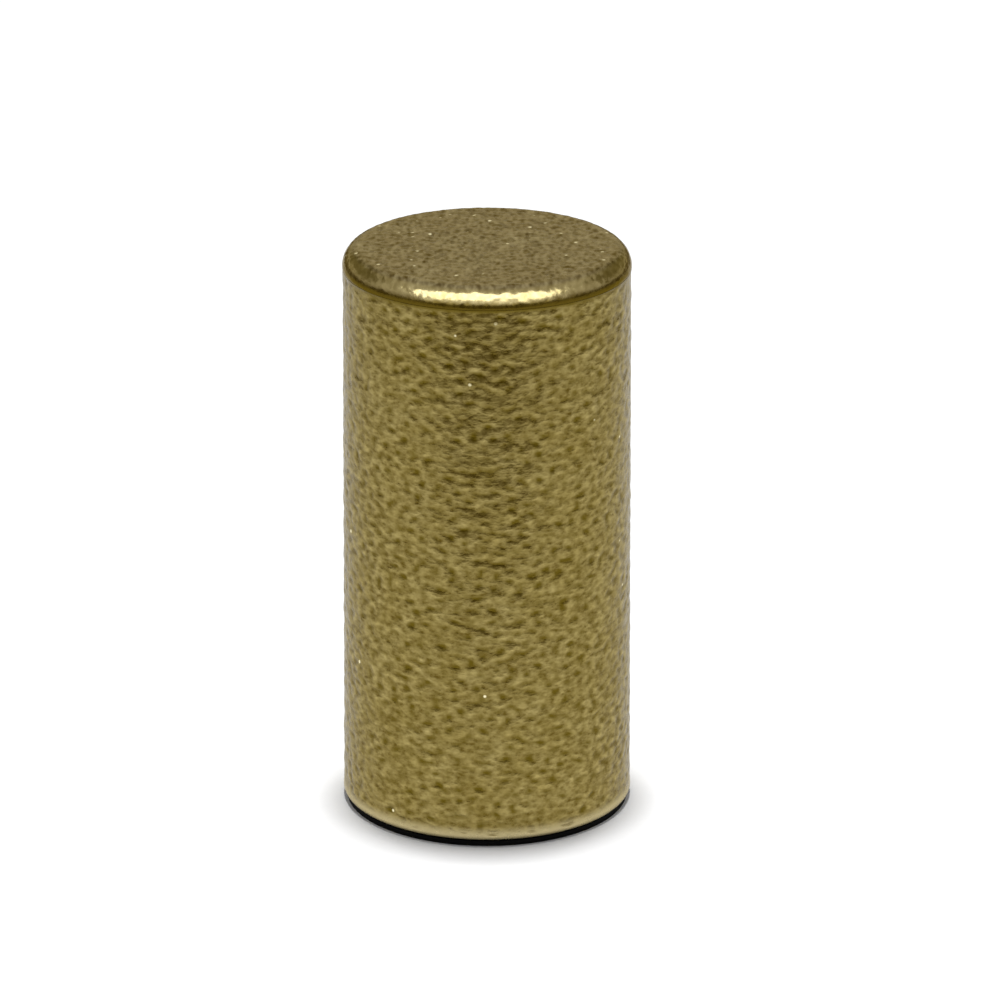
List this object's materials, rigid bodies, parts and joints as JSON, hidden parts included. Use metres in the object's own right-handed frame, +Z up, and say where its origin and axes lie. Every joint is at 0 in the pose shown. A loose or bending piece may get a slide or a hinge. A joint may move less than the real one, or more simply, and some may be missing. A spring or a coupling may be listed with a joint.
{
  "type": "candle mold",
  "caption": "Upright cylindrical push-out mold for pillar candles: hammered brass tube on a rubber base plug with a wick pin, closed by a lift-off brass cap.",
  "frame": {"origin": "on the mold's axis, at the underside of the plug's flange that it stands on", "axes": "+Z up along the mold's axis towards the cap; the part is round, so X and Y are free"},
  "size_m": [0.076, 0.076, 0.1517],
  "materials": {
    "hammered_brass": "hammered, aged, satin",
    "turned_brass": "fine-grained top, smooth round shoulder",
    "fitting_brass": "turned, satin",
    "steel": "ground",
    "black_rubber": "moulded, matt black",
    "silicone": "moulded, dark grey"
  },
  "bodies": {
    "base": {"base_plug": "black_rubber", "base_plate": "steel", "plug_washer": "steel", "wick_pin": "steel"},
    "tube": {"mold_tube": "hammered_brass"},
    "cap": {"end_cap": "turned_brass", "cap_seal": "silicone", "centring_boss": "fitting_brass"},
    "knob": {"pull_knob": "fitting_brass"}
  },
  "joints": [
    {"name": "tube_lift", "type": "slide", "parent": "base", "child": "tube", "axis": [0, 0, 1], "range_m": [0, 0.15]},
    {"name": "cap_lift", "type": "slide", "parent": "tube", "child": "cap", "axis": [0, 0, 1], "range_m": [0, 0.06]},
    {"name": "knob_turn", "type": "hinge", "parent": "base", "child": "knob", "pos_m": [0, 0, 0.0097], "axis": [0, 0, -1], "range_deg": [0, 360]}
  ]
}
